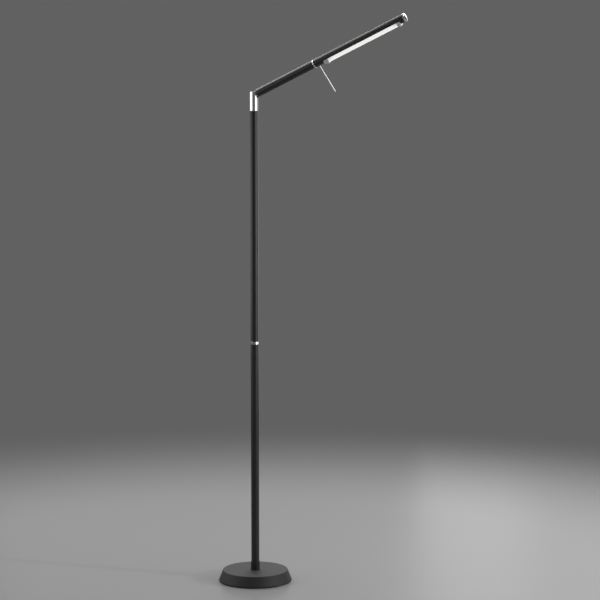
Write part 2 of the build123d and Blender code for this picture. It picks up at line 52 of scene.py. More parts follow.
# %% [markdown]
# Round pieces are easiest to work out about one axis. So each moving body gets its own axes:
# the first runs along its tube, and the other two lie across it. A piece is made in those
# axes and turned into the lamp's frame at the end, once, in its mesh.

# %% Working axes of the pole, the arm, the head and the small cross pieces
MM = 0.001


def axes(origin, along, across):
    """An origin with three unit columns: along, across squared up to it, and their product."""
    along = np.array(along, float) / np.linalg.norm(along)
    across = np.array(across, float) - np.dot(across, along) * along
    across /= np.linalg.norm(across)
    return np.array(origin, float), np.stack([along, across, np.cross(along, across)], axis=1)


def in_axes(node, place):
    """All vertices of a CAD node in some working axes, one row each."""
    mesh = nodes[node].data
    found = np.empty(len(mesh.vertices) * 3, np.float32)
    mesh.vertices.foreach_get("co", found)
    return (found.reshape(-1, 3) - place[0]) @ place[1]


def span(node, place, axis=0):
    """Lowest and highest place of a CAD node along one working axis."""
    found = in_axes(node, place)[:, axis]
    return float(found.min()), float(found.max())


def reach(node, place):
    """Greatest distance of a CAD node from the first working axis."""
    return float(np.hypot(*in_axes(node, place)[:, 1:].T).max())


arm_way = joints["head_twist"]["axis"]
pivot = joints["arm_tilt"]["pos_m"]
POLE = axes((0, 0, 0), (0, 0, 1), (1, 0, 0))
ARM = axes(pivot, arm_way, (0, 0, 1))
rod_middle = in_axes("guide_rod", ARM).mean(axis=0)
rod_way = ARM[1] @ (rod_middle * (0, 1, 1))
HEAD = axes(pivot, arm_way, -rod_way)
ROD = axes(HEAD[0] + HEAD[1][:, 0] * rod_middle[0], rod_way, arm_way)
PIVOT = axes(pivot, (0, 1, 0), (1, 0, 0))
inlet = next(mount for mount in frame["record"]["mounts"] if mount["name"] == "cord_inlet")
INLET = axes((0, 0, inlet["pos_m"][2]), inlet["axis"], (0, 0, 1))
TUBE = reach("lower_tube", POLE)
print("tube radius mm", round(TUBE / MM, 2), "head ring at mm", round(span("head_ring", ARM)[0] / MM, 1))

# %% [markdown]
# Everything made here is a skin of four-cornered faces on a grid of points. One function
# turns a grid into an object. It closes seams, covers the two ends where asked, and turns the
# skin over if its volume comes out negative, so that every face points outwards.

# %% Grids, caps and objects


def grid_faces(rows, columns, wrap_rows, wrap_columns):
    """Corner numbers of the cells of a rows x columns grid, joined round where asked."""
    i = np.arange(rows if wrap_rows else rows - 1)
    j = np.arange(columns if wrap_columns else columns - 1)
    i, j = [part.ravel() for part in np.meshgrid(i, j, indexing="ij")]
    down, over = (i + 1) % rows, (j + 1) % columns
    return np.stack([i * columns + j, i * columns + over, down * columns + over, down * columns + j], 1)


def volume(mesh):
    """Signed volume of a closed skin: a sixth of the sum of a . (b x c) over its triangles."""
    mesh.calc_loop_triangles()
    corners = np.empty(len(mesh.loop_triangles) * 3, np.int32)
    mesh.loop_triangles.foreach_get("vertices", corners)
    points = np.empty(len(mesh.vertices) * 3, np.float32)
    mesh.vertices.foreach_get("co", points)
    a, b, c = points.reshape(-1, 3)[corners].astype(float).reshape(-1, 3, 3).transpose(1, 0, 2)
    return float(np.einsum("ij,ij->", a, np.cross(b, c))) / 6


def make(name, points, faces, place, body, finish_name, replaced=(), sharp=35.0):
    """Put a closed skin into the lamp's frame as a smooth piece with its own finish."""
    faces = faces.tolist() if isinstance(faces, np.ndarray) else faces
    mesh = bpy.data.meshes.new(name)
    mesh.from_pydata((place[0] + points @ place[1].T).tolist(), [], faces)
    if volume(mesh) < 0:
        mesh.flip_normals()
    mesh.polygons.foreach_set("use_smooth", [True] * len(mesh.polygons))
    mesh.set_sharp_from_angle(angle=math.radians(sharp))
    mesh.validate()
    mesh.update()
    piece = bpy.data.objects.new(name, mesh)
    bpy.context.scene.collection.objects.link(piece)
    mesh.materials.append(finishes[finish_name])
    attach(piece, body)
    if replaced:
        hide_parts(*replaced)
    print(f"{name}: {len(mesh.polygons)} faces on {body}")
    return piece


# %% [markdown]
# An edge on a real part is never quite sharp. A small arc at each corner of a profile catches
# the light as the real edge does. Two more points, one just outside each end of the arc, keep
# the flats beside it flat when the shading is smoothed.

# %% Profiles with rounded corners


def rounded(corners, radii, closed=True, steps=6):
    """A line through corners, each one turned into an arc that touches both its sides.

    The arc's middle lies on the bisector, and its points come from a spherical blend of its
    two end spokes: (spoke_a sin((1-k)t) + spoke_b sin(kt)) / sin t.
    """
    corners = np.array(corners, float)
    out = []
    for i, corner in enumerate(corners):
        if not radii[i] or (not closed and i in (0, len(corners) - 1)):
            out.append(corner[None])
            continue
        side_a = corners[i - 1] - corner
        side_b = corners[(i + 1) % len(corners)] - corner
        side_a, side_b = side_a / np.linalg.norm(side_a), side_b / np.linalg.norm(side_b)
        half = math.acos(np.clip(side_a @ side_b, -1, 1)) / 2
        trim = radii[i] / math.tan(half)
        bisector = (side_a + side_b) / np.linalg.norm(side_a + side_b)
        middle = corner + bisector * radii[i] / math.sin(half)
        spoke_a, spoke_b = corner + side_a * trim - middle, corner + side_b * trim - middle
        turn = math.pi - 2 * half
        k = np.linspace(0, 1, steps + 1)[:, None]
        arc = middle + (spoke_a * np.sin((1 - k) * turn) + spoke_b * np.sin(k * turn)) / math.sin(turn)
        guard = trim * 1.25
        out += [(corner + side_a * guard)[None], arc, (corner + side_b * guard)[None]]
    return np.concatenate(out)


def turned(name, profile, place, body, finish_name, replaced=(), closed=True, around=96, sharp=35.0):
    """A turned piece: point (along, r cos a, r sin a) for each profile point (along, r).

    A closed profile makes a ring. An open one starts and ends on the axis, in two poles.
    """
    profile = np.array(profile, float)
    angle = np.linspace(0, 2 * math.pi, around, endpoint=False)
    body_of_profile = profile if closed else profile[1:-1]
    along, radius = body_of_profile[:, :1], body_of_profile[:, 1:]
    points = np.stack(np.broadcast_arrays(along, radius * np.cos(angle), radius * np.sin(angle)), -1)
    rows = len(body_of_profile)
    points = points.reshape(-1, 3)
    faces = grid_faces(rows, around, closed, True).tolist()
    if not closed:
        poles = np.array([[profile[0, 0], 0, 0], [profile[-1, 0], 0, 0]])
        first, last = len(points), len(points) + 1
        points = np.concatenate([points, poles])
        j = np.arange(around)
        over = (j + 1) % around
        base = (rows - 1) * around
        faces += np.stack([over, j, np.full(around, first)], 1).tolist()
        faces += np.stack([base + j, base + over, np.full(around, last)], 1).tolist()
    return make(name, points, faces, place, body, finish_name, replaced, sharp)


def walled(name, outer, inner, keep, place, body, finish_name, replaced=(), wrap=False, sharp=35.0):
    """A sheet with thickness: two grids of points, and a wall wherever a kept cell ends.

    keep says cell by cell what stays. A wall stands on each cell side whose neighbour is gone.
    """
    rows, columns = outer.shape[:2]
    across = columns if wrap else columns - 1
    cells = grid_faces(rows, columns, False, wrap).reshape(rows - 1, across, 4)
    offset = rows * columns
    stays = np.zeros((rows + 1, across + 2), bool)
    stays[1:-1, 1:-1] = keep
    if wrap:
        stays[1:-1, 0], stays[1:-1, -1] = keep[:, -1], keep[:, 0]
    faces = cells[keep].tolist() + (cells[keep][:, ::-1] + offset).tolist()
    neighbours = ((0, 1, stays[:-2, 1:-1]), (1, 2, stays[1:-1, 2:]),
                  (2, 3, stays[2:, 1:-1]), (3, 0, stays[1:-1, :-2]))
    for start, end, beside in neighbours:
        rim = cells[keep & ~beside]
        a, b = rim[:, start], rim[:, end]
        faces += np.stack([b, a, a + offset, b + offset], 1).tolist()
    points = np.concatenate([outer.reshape(-1, 3), inner.reshape(-1, 3)])
    used = np.unique(np.array(faces).ravel())
    renumber = np.full(len(points), -1)
    renumber[used] = np.arange(len(used))
    return make(name, points[used], renumber[np.array(faces)], place, body, finish_name, replaced, sharp)


def round_hole(u, v, half_u, half_v, radius):
    """Move grid points so that the cells round (0, 0) leave a round hole.

    The square of cells |u| < half_u, |v| < half_v becomes a circle, and the move fades out
    to nothing at three times that size.
    """
    p, q = u / half_u, v / half_v
    size = np.maximum(np.abs(p), np.abs(q))
    length = np.maximum(np.hypot(p, q), 1e-9)
    share = np.clip((3.0 - size) / 2.0, 0, 1)
    circle = radius * size
    new_u = u + share * (p / length * circle - u)
    new_v = v + share * (q / length * circle - v)
    return new_u, new_v


print("points on a rounded square mm", rounded([(0, 0), (0, 9), (9, 9), (9, 0)], [1, 1, 1, 1]).shape)

# %% [markdown]
# Colours and grains are worked out by nodes. Writing them as sums in Python keeps them
# readable, so one small class stands for a value on its way through the nodes. Adding or
# multiplying two of them adds the right node.

# %% A class for shader sums


class Wire:
    """An output of a node, or the bare node tree of a finish where nothing is linked yet."""

    def __init__(self, tree, socket=None):
        self.tree = tree
        self.socket = socket

    def node(self, kind, settings=None, inputs=None, out=0):
        """Add a node: its settings first, then the values or wires of its sockets."""
        made = self.tree.nodes.new(kind)
        for key, value in (settings or {}).items():
            setattr(made, key, value)
        for key, value in (inputs or {}).items():
            if isinstance(value, Wire):
                self.tree.links.new(value.socket, made.inputs[key])
            else:
                made.inputs[key].default_value = value
        return Wire(self.tree, made.outputs[out])

    def math(self, operation, other=0.0):
        """One step of arithmetic on this value and another."""
        return self.node("ShaderNodeMath", {"operation": operation}, {0: self, 1: other})

    def __add__(self, other):
        return self.math("ADD", other)

    __radd__ = __add__

    def __mul__(self, other):
        return self.math("MULTIPLY", other)

    __rmul__ = __mul__

    def __sub__(self, other):
        return self.math("SUBTRACT", other)

    def __rsub__(self, other):
        return (self * -1.0).math("ADD", other)

    def __truediv__(self, other):
        return self.math("DIVIDE", other)

    def __rtruediv__(self, other):
        return (self ** -1.0) * other

    def __pow__(self, other):
        return self.math("POWER", other)

    def clamped(self):
        """This value held between 0 and 1."""
        return self.node("ShaderNodeClamp", None, {0: self})

    def ramp(self, low, high):
        """0 below low, 1 above high, and smooth between."""
        settings = {"interpolation_type": "SMOOTHSTEP"}
        return self.node("ShaderNodeMapRange", settings, {0: self, 1: low, 2: high, 3: 0.0, 4: 1.0})

    def mixed(self, colour_a, colour_b):
        """colour_a where this is 0, colour_b where it is 1."""
        settings = {"data_type": "RGBA"}
        ends = [end if isinstance(end, Wire) else (*end, 1.0) for end in (colour_a, colour_b)]
        return self.node("ShaderNodeMix", settings, {0: self, 6: ends[0], 7: ends[1]}, out=2)

    def along(self, direction, origin=(0, 0, 0)):
        """Distance of this point along a direction, from an origin."""
        moved = self.node("ShaderNodeVectorMath", {"operation": "SUBTRACT"}, {0: self, 1: tuple(origin)})
        way = tuple(float(part) for part in direction)
        settings = {"operation": "DOT_PRODUCT"}
        return moved.node("ShaderNodeVectorMath", settings, {0: moved, 1: way}, out="Value")

    def noise(self, size, detail=2.0, stretch=None, roughness=0.5):
        """Soft noise whose spots are about size metres across, drawn out along one axis."""
        at = self
        if stretch:
            at = self.node("ShaderNodeMapping", None, {"Vector": self, "Scale": stretch})
        inputs = {"Vector": at, "Scale": 1.0 / size, "Detail": detail, "Roughness": roughness}
        return self.node("ShaderNodeTexNoise", None, inputs, out="Fac")

    def cells(self, size):
        """Distance to the nearest of scattered points, about size metres apart."""
        inputs = {"Vector": self, "Scale": 1.0 / size}
        return self.node("ShaderNodeTexVoronoi", None, inputs, out="Distance")

    def bump(self, height, strength=1.0):
        """A normal from this value, read as a height of so many metres."""
        return self.node("ShaderNodeBump", None, {"Height": self, "Distance": height, "Strength": strength})


finishes = {}
print("sums a finish can use", [name for name in vars(Wire) if not name.startswith("_")])


def finish(name, paint, **sockets):
    """A named material: paint(points, tree) gives what varies, sockets give the constants."""
    material = bpy.data.materials.new(name)
    material.use_nodes = True
    tree = material.node_tree
    shader = tree.nodes["Principled BSDF"]
    start = Wire(tree)
    points = start.node("ShaderNodeTexCoord", out="Object")
    for key, value in sockets.items():
        shader.inputs[key.replace("_", " ")].default_value = value
    for key, wire in paint(points).items():
        tree.links.new(wire.socket, shader.inputs[key])
    finishes[name] = material
    print(f"{name}: {len(tree.nodes)} nodes")


# %% [markdown]
# The tubes and the base are powder coated. Baked powder leaves a matt, very finely grained
# skin: grains of about half a millimetre over a slow wave like orange peel. The grains lift
# the skin a few hundredths of a millimetre, and the colour and the shine drift a little too.
# The base is blasted before it is coated, so it comes out more matt than the drawn tubes.

# %% Black powder coat
MATT_TOP = span("base_cover", POLE)[1] + 0.5 * MM


def powder_coat(points):
    """Grain over peel and slow clouds of tone, more matt from the floor up to the base's top."""
    grain = points.noise(0.55 * MM, detail=3.0, roughness=0.6)
    peel = points.noise(3.2 * MM, detail=1.0)
    cloud = points.noise(60 * MM, detail=3.0)
    speck = 1.0 - points.cells(1.1 * MM).ramp(0.06, 0.30)
    matt = 1.0 - points.along((0, 0, 1)).ramp(MATT_TOP, MATT_TOP + 1.5 * MM)
    colour = (0.55 * cloud + 0.45 * grain).clamped().mixed((0.008, 0.008, 0.0085), (0.018, 0.018, 0.0185))
    height = 0.62 * grain + 0.30 * peel + 0.08 * speck
    return {
        "Base Color": colour,
        "Roughness": (0.28 + 0.24 * matt + 0.06 * grain + 0.08 * cloud).clamped(),
        "Normal": height.bump(0.03 * MM, 0.35),
    }


finish("black_powder_coat", powder_coat, Specular_IOR_Level=0.5)

# %% [markdown]
# The fork, the rings, the rod and the cap are chromed and polished. A mirror alone looks
# like a drawing, so faint polishing lines and a few soft finger marks dull it here and there.

# %% Polished chrome


def polished_chrome(points):
    """A bright mirror with hair-fine polishing lines and soft marks."""
    lines = points.noise(0.25 * MM, detail=2.0, stretch=(1.0, 1.0, 0.06))
    marks = points.noise(14 * MM, detail=3.0).ramp(0.52, 0.78)
    tone = points.noise(25 * MM, detail=2.0).mixed((0.80, 0.81, 0.83), (0.88, 0.89, 0.90))
    return {
        "Base Color": tone,
        "Roughness": (0.035 + 0.05 * marks + 0.02 * lines).clamped(),
        "Normal": lines.bump(0.0012 * MM, 0.35),
    }


finish("polished_chrome", polished_chrome, Metallic=1.0)

# %% [markdown]
# The knuckle between the fork and the arm is plated with satin nickel, brushed along the
# arm. Brushing is a noise drawn out a long way one way: it moves the shine and the bump.

# %% Satin nickel, zinc and the other bare metals


def brushed(low, high, rough, size=0.2 * MM, stretch=(0.04, 1.0, 1.0), depth=0.004 * MM):
    """A paint function for metal with brushing lines between two tones."""

    def paint(points):
        lines = points.noise(size, detail=3.0, stretch=stretch)
        cloud = points.noise(12 * MM, detail=2.0)
        return {
            "Base Color": (0.6 * lines + 0.4 * cloud).clamped().mixed(low, high),
            "Roughness": (rough + 0.14 * lines + 0.06 * cloud).clamped(),
            "Normal": lines.bump(depth, 0.5),
        }

    return paint


def zinc_plate(points):
    """Bright zinc: pale grey with the faint yellow and blue islands of its passivation."""
    spangle = points.cells(2.5 * MM)
    tint = points.noise(9 * MM, detail=2.0)
    return {
        "Base Color": tint.mixed((0.60, 0.63, 0.68), (0.72, 0.69, 0.58)),
        "Roughness": (0.24 + 0.22 * spangle + 0.08 * tint).clamped(),
        "Normal": spangle.bump(0.006 * MM, 0.4),
    }


def cast_iron(points):
    """Sand-cast skin: coarse grains, small pits and rust in the hollows."""
    sand = points.noise(1.1 * MM, detail=5.0, roughness=0.7)
    pits = points.cells(3.4 * MM).ramp(0.05, 0.22)
    rust = points.noise(22 * MM, detail=4.0).ramp(0.52, 0.68)
    iron = sand.mixed((0.045, 0.043, 0.042), (0.12, 0.115, 0.11))
    return {
        "Base Color": (rust * 0.7).mixed(iron, (0.16, 0.065, 0.03)),
        "Roughness": (0.62 + 0.25 * sand).clamped(),
        "Metallic": (0.75 - 0.6 * rust).clamped(),
        "Normal": (sand * pits).bump(0.25 * MM, 0.8),
    }


finish("satin_nickel", brushed((0.50, 0.49, 0.47), (0.74, 0.73, 0.70), 0.20), Metallic=1.0)
finish("zinc_steel", zinc_plate, Metallic=1.0)
finish("cast_iron", cast_iron)
finish("blackened_steel", brushed((0.020, 0.020, 0.022), (0.05, 0.05, 0.055), 0.30), Metallic=1.0)
finish("turned_brass", brushed((0.60, 0.42, 0.16), (0.80, 0.62, 0.28), 0.18), Metallic=1.0)
finish("aluminium_extrusion", brushed((0.62, 0.63, 0.64), (0.80, 0.81, 0.82), 0.30,
                                      stretch=(0.03, 1.0, 1.0)), Metallic=1.0)

# %% [markdown]
# Plastics and rubber differ in how their mould was finished: spark-eroded grain on the
# driver's case, satin on the nylon, and a soft matt bloom on rubber. One function makes
# them all from two tones, a shine and the size and depth of the grain.

# %% Plastics, rubber and fibre


def moulded(low, high, rough, size, depth, cloud_size=30 * MM):
    """A paint function for a moulded surface with an even grain."""

    def paint(points):
        grain = points.noise(size, detail=3.0, roughness=0.6)
        cloud = points.noise(cloud_size, detail=3.0)
        return {
            "Base Color": (0.5 * grain + 0.5 * cloud).clamped().mixed(low, high),
            "Roughness": (rough + 0.12 * grain + 0.08 * cloud).clamped(),
            "Normal": grain.bump(depth, 0.6),
        }

    return paint


def sheath(points):
    """Extruded sheath: faint lines along it and a slightly greasy shine."""
    lines = points.noise(0.35 * MM, detail=2.0, stretch=(1.0, 1.0, 0.03))
    return {
        "Base Color": lines.mixed((0.16, 0.16, 0.165), (0.24, 0.24, 0.245)),
        "Roughness": (0.38 + 0.2 * lines).clamped(),
        "Normal": lines.bump(0.01 * MM, 0.4),
    }


finish("black_rubber", moulded((0.012, 0.012, 0.012), (0.030, 0.030, 0.030), 0.70, 0.5 * MM, 0.06 * MM))
finish("black_nylon", moulded((0.014, 0.014, 0.015), (0.030, 0.030, 0.032), 0.38, 0.35 * MM, 0.015 * MM))
finish("white_nylon", moulded((0.56, 0.56, 0.56), (0.64, 0.64, 0.63), 0.40, 0.4 * MM, 0.02 * MM),
       Subsurface_Weight=0.15, Subsurface_Radius=(0.004, 0.004, 0.004))
finish("driver_case", moulded((0.62, 0.62, 0.60), (0.72, 0.72, 0.70), 0.55, 0.45 * MM, 0.05 * MM))
finish("terminal_plastic", moulded((0.70, 0.69, 0.62), (0.80, 0.79, 0.73), 0.32, 0.8 * MM, 0.01 * MM))
finish("washer_fibre", moulded((0.20, 0.055, 0.025), (0.38, 0.13, 0.06), 0.70, 0.3 * MM, 0.04 * MM))
finish("lead_sheath", sheath)

# %% [markdown]
# The light itself: chips with a yellow phosphor on a white board, behind an opal trough.
# Seen from below, an opal trough is a little brighter under each chip and fades at its ends,
# so its glow is a row of soft bumps along the arm on a nearly even white.

# %% Chips, board and the lit opal trough
arm_axis = HEAD[1][:, 0]
trough = span("diffuser", HEAD)
chip_row = span("led_chips", HEAD)
CHIP_COUNT = 21
CHIP_HALF = 1.4 * MM
chip_pitch = (chip_row[1] - chip_row[0] - 2 * CHIP_HALF) / (CHIP_COUNT - 1)


def opal_glow(points):
    """Glow = 0.5 + a share that rises at the ends and at the floor of the trough + the chips' spots."""
    place = points.along(arm_axis, pivot)
    depth = points.along(-HEAD[1][:, 1], pivot)
    step = (place - (chip_row[0] + CHIP_HALF)) * (2 * math.pi / chip_pitch)
    spots = 0.5 * step.math("COSINE") + 0.5
    rise = place.ramp(trough[0] - 6 * MM, trough[0] + 20 * MM)
    fall = place.ramp(trough[1] - 20 * MM, trough[1] + 6 * MM)
    ends = rise * (1.0 - fall)
    floor_share = depth.ramp(4 * MM, 11 * MM)
    glow = 0.50 + 0.44 * (ends + floor_share - ends * floor_share) + 0.06 * spots * ends
    haze = points.noise(1.5 * MM, detail=2.0)
    return {
        "Base Color": haze.mixed((0.80, 0.80, 0.79), (0.86, 0.86, 0.85)),
        "Roughness": (0.32 + 0.12 * haze).clamped(),
        "Emission Color": glow.clamped().mixed((0.0, 0.0, 0.0), (1.0, 0.985, 0.955)),
        "Normal": haze.bump(0.01 * MM, 0.3),
    }


def phosphor(points):
    """Yellow grains set in clear silicone."""
    body = points.cells(0.35 * MM)
    return {
        "Base Color": body.mixed((0.95, 0.72, 0.16), (0.98, 0.86, 0.42)),
        "Roughness": (0.35 + 0.2 * body).clamped(),
        "Normal": body.bump(0.01 * MM, 0.4),
    }


def board_mask(points):
    """White solder mask with the faint weave of the board under it."""
    weave = points.noise(0.6 * MM, detail=2.0, stretch=(0.3, 1.0, 1.0))
    return {
        "Base Color": weave.mixed((0.70, 0.72, 0.70), (0.82, 0.83, 0.82)),
        "Roughness": (0.28 + 0.15 * weave).clamped(),
        "Normal": weave.bump(0.01 * MM, 0.4),
    }


finish("opal_acrylic", opal_glow, Emission_Strength=0.6)
finish("led_phosphor", phosphor, Emission_Strength=0.5, Emission_Color=(1.0, 0.85, 0.5, 1.0))
finish("board_white", board_mask)

for part in frame["record"]["subparts"]:
    material_slots = nodes[part["node"]].data.materials
    material_slots.clear()
    material_slots.append(finishes[part["material_slot"]])
print("finishes", len(finishes))

# %% [markdown]
# The base cover is a spun sheet: a flat top, a round shoulder, a cone and a small round lip
# at the floor. Spun work is a profile carried round an axis. It needs thickness, a hole for
# the stud and a hole at the back for the cord, so it is a walled grid, and the cells at the
# back are moved aside into a round hole.

# %% Base cover, pad and cord inlet
base_low, base_high = span("base_cover", POLE)
base_radius = reach("base_cover", POLE)
top_radius = 89.0 * MM
sheet_thick = 1.5 * MM
lip, shoulder = 1.2 * MM, 2.0 * MM
foot_spread = 0.34 * MM  # what the lip's rounding takes off the cone's sharp foot
stud_radius = reach("pole_stud", POLE)
inlet_height = INLET[0][2]
neck = 5.0 * MM


def cover_profile(inset):
    """(height, radius) down the cover, or down its inner face when inset is the thickness."""
    foot = base_radius + foot_spread
    slope = (foot - top_radius) / (base_high - base_low)
    lean = math.hypot(1.0, slope)
    side_shift = inset * lean
    top = base_high - inset
    foot_radius = foot - side_shift
    shoulder_radius = top_radius + slope * inset - side_shift
    corners = [(top, stud_radius), (top, shoulder_radius), (base_low, foot_radius),
               (base_low, foot_radius - sheet_thick * 0.2)]
    outer_lip = lip if not inset else 0.3 * MM
    return rounded(corners, [0, max(shoulder - inset, 0.6 * MM), outer_lip, 0], closed=False)


def spaced(line, flat_steps, side_steps):
    """The profile with more points: even steps on the flat top, and on the cone the given ones."""
    gaps = np.linalg.norm(np.diff(line, axis=0), axis=1)
    cone = 1 + int(np.argmax(gaps[1:]))
    top = line[0] + (line[1] - line[0]) * flat_steps[:, None]
    side = line[cone] + (line[cone + 1] - line[cone]) * side_steps[:, None]
    return np.concatenate([top, line[2:cone], side, line[cone + 2:]])


outer_line, inner_line = cover_profile(0.0), cover_profile(sheet_thick)
cone_high, cone_low = base_high - 3.0 * MM, base_low + 1.8 * MM
hole_top, hole_foot = (inlet_height + np.array([neck, -neck]) - cone_high) / (cone_low - cone_high)
side_steps = np.concatenate([np.linspace(0, hole_top, 9)[:-1],
                             np.linspace(hole_top, hole_foot, 9)[:-1],
                             np.linspace(hole_foot, 1, 4)])
flat_steps = np.linspace(0, 1, 16)
outer_line = spaced(outer_line, flat_steps, side_steps)
inner_line = spaced(inner_line, flat_steps, side_steps)

AROUND = 252
angle = np.linspace(0, 2 * math.pi, AROUND, endpoint=False)
back = math.pi / 2  # the inlet faces the second axis across the pole, which is +Y


def cover_grid(line):
    """Carry the profile round the pole, with the cells at the inlet pushed into a circle."""
    height, radius = np.broadcast_arrays(line[:, :1], line[:, 1:])
    height, radius = height.repeat(AROUND, 1), radius.repeat(AROUND, 1)
    turn = np.broadcast_to(angle, height.shape) - back
    turn = (turn + math.pi) % (2 * math.pi) - math.pi
    at_inlet = (np.abs(turn) < 0.35) & (height > cone_low - MM) & (height < cone_high + MM)
    half_u = 2 * (angle[1] - angle[0]) * (base_radius - 4 * MM)
    u, v = turn * radius, height - inlet_height
    new_u, new_v = round_hole(u, v, half_u, neck, neck)
    new_v = np.where(at_inlet, new_v, v)
    new_u = np.where(at_inlet, new_u, u)
    slope = np.interp(-(inlet_height + v), -line[:, 0], line[:, 1])
    moved = np.interp(-(inlet_height + new_v), -line[:, 0], line[:, 1])
    new_radius = np.where(at_inlet, radius + moved - slope, radius)
    new_turn = new_u / radius + back
    points = np.stack([inlet_height + new_v, new_radius * np.cos(new_turn),
                       new_radius * np.sin(new_turn)], -1)
    return points, u, v, at_inlet, half_u


outer, u, v, at_inlet, half_u = cover_grid(outer_line)
inner = cover_grid(inner_line)[0]
middle_u = (u + np.roll(u, -1, 1))[:-1] / 2
middle_v = (v[:-1] + v[1:]) / 2
hole = (np.abs(middle_u) < half_u) & (np.abs(middle_v) < neck) & at_inlet[:-1]
walled("base_cover_spun", outer, inner, ~hole, POLE, "stand", "black_powder_coat",
       ["base_cover"], wrap=True)

pad_low, pad_high = span("floor_pad", POLE)
pad_radius = reach("floor_pad", POLE)
pad_line = rounded([(pad_low, 0), (pad_low, pad_radius), (pad_high, pad_radius), (pad_high, 0)],
                   [0, 0.6 * MM, 0.3 * MM, 0], closed=False)
turned("floor_pad_moulded", pad_line, POLE, "stand", "black_rubber", ["floor_pad"],
       closed=False, around=160)

bore = inlet["dims"]["r_mm"] * MM
gland_low, gland_high = span("cord_grommet", INLET)
flange = reach("cord_grommet", INLET)
nose = neck - 0.05 * MM
shelf = gland_low + 3.5 * MM
ribs = [(gland_high - 2.6 * MM, nose), (gland_high - 2.2 * MM, nose - 0.45 * MM),
        (gland_high - 1.8 * MM, nose)]
gland_line = rounded([(gland_low, bore), (gland_low, flange), (shelf, flange), (shelf, nose), *ribs,
                      (gland_high, nose), (gland_high, bore)],
                     [0.3 * MM, 0.3 * MM, 0.3 * MM, 0, 0, 0.1 * MM, 0, 0.9 * MM, 0.6 * MM])
turned("cord_inlet_grommet", gland_line, INLET, "stand", "black_nylon", ["cord_grommet"],
       around=64)

# %% [markdown]
# The pole is two tubes with a polished ring between them, standing in a short collar. Each is
# a ring-shaped profile carried round the pole. The tube ends are deburred, the collar has a
# bevel at its top, and the ring's edges are only just broken, which gives its two bright lines.

# %% Collar, tubes and coupling ring


def ring_line(low, high, hole, radius, edges):
    """A rectangular ring profile with its four corners rounded: outer low, outer high, inner."""
    corners = [(low, hole), (low, radius), (high, radius), (high, hole)]
    return rounded(corners, [edges[2], edges[0], edges[1], edges[2]])


collar_low, collar_high = span("pole_collar", POLE)
collar = reach("pole_collar", POLE)
turned("pole_collar_turned", ring_line(collar_low, collar_high, TUBE + 0.02 * MM, collar,
                                       (0.25 * MM, 0.7 * MM, 0.15 * MM)),
       POLE, "stand", "black_powder_coat", ["pole_collar"])

TUBE_BORE = TUBE - 1.3 * MM
burr = (0.25 * MM, 0.25 * MM, 0.2 * MM)
for node, place, body in (("lower_tube", POLE, "stand"), ("upper_tube", POLE, "stand"),
                          ("arm_tube", ARM, "arm")):
    low, high = span(node, place)
    turned(node + "_drawn", ring_line(low, high, TUBE_BORE, TUBE, burr), place, body,
           "black_powder_coat", [node])

ring_low, ring_high = span("coupling_ring", POLE)
turned("coupling_ring_polished", ring_line(ring_low, ring_high, stud_radius, TUBE,
                                           (0.35 * MM, 0.35 * MM, 0.1 * MM)),
       POLE, "stand", "polished_chrome", ["coupling_ring"])
ring_low, ring_high = span("head_ring", ARM)
spigot = 7.0 * MM
turned("head_ring_polished", ring_line(ring_low, ring_high, spigot, TUBE,
                                       (0.3 * MM, 0.3 * MM, 0.1 * MM)),
       HEAD, "head", "polished_chrome", ["head_ring"])

# %% [markdown]
# The fork is one chromed bar on the lathe, with a slot milled across its top. Below the slot
# it is a turned profile. Above it stand two cheeks, and each cheek is a walled grid: the
# outer face lies on the cylinder and the inner face is the flat of the slot. The back cheek
# has the counterbore of the pivot screw, made with the same round hole as in the base.

# %% Fork and pivot screw
stem_low, fork_top = span("fork", POLE)
pivot_height = pivot[2]
slot_half = 4.0 * MM
slot_floor = span("fork_lead", POLE)[1] + 0.3 * MM
stem = 6.0 * MM
stem_bore = 3.0 * MM
flange_top = span("swivel_bush", POLE)[1]
fork_foot = flange_top + 0.05 * MM
fork_line = rounded([(slot_floor, stem_bore), (slot_floor, TUBE), (fork_foot, TUBE), (fork_foot, stem),
                     (stem_low, stem), (stem_low, stem_bore)],
                    [0, 0, 0.3 * MM, 0, 0.4 * MM, 0.2 * MM])
turned("fork_body", fork_line, POLE, "fork", "polished_chrome", ["fork"], around=128)

counterbore = 4.05 * MM
crown = 0.9 * MM
NEAR_HOLE = 0.42  # share of the arc with close columns; the hole's square is a third of it


